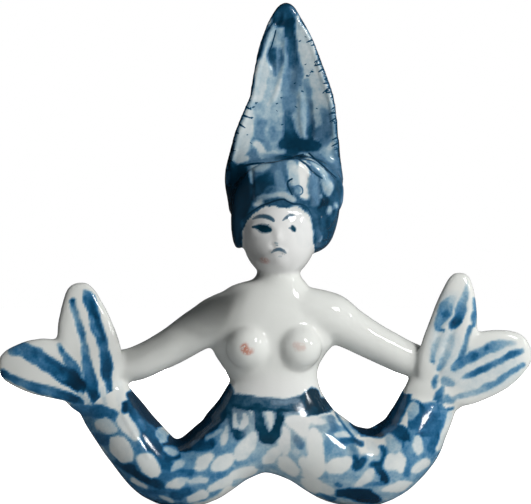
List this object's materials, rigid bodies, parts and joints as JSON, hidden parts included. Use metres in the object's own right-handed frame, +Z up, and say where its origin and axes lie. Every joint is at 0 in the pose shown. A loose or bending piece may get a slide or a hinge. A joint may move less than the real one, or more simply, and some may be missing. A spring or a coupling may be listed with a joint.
{
  "type": "mermaid figurine",
  "caption": "Glazed porcelain mermaid figurine with two upturned tails, arms held out to the fins and a tall pointed hood; stands on two small flats.",
  "frame": {"origin": "on the ground, at the middle of the figurine's width and depth", "axes": "+Z up, +X towards the viewer's right when her face is seen, her face looks along -Y"},
  "size_m": [0.1594, 0.028, 0.1505],
  "materials": {
    "glaze": "glossy clear glaze over white porcelain, painted in cobalt blue"
  },
  "bodies": {
    "root": {"figurine": "glaze"}
  },
  "joints": []
}
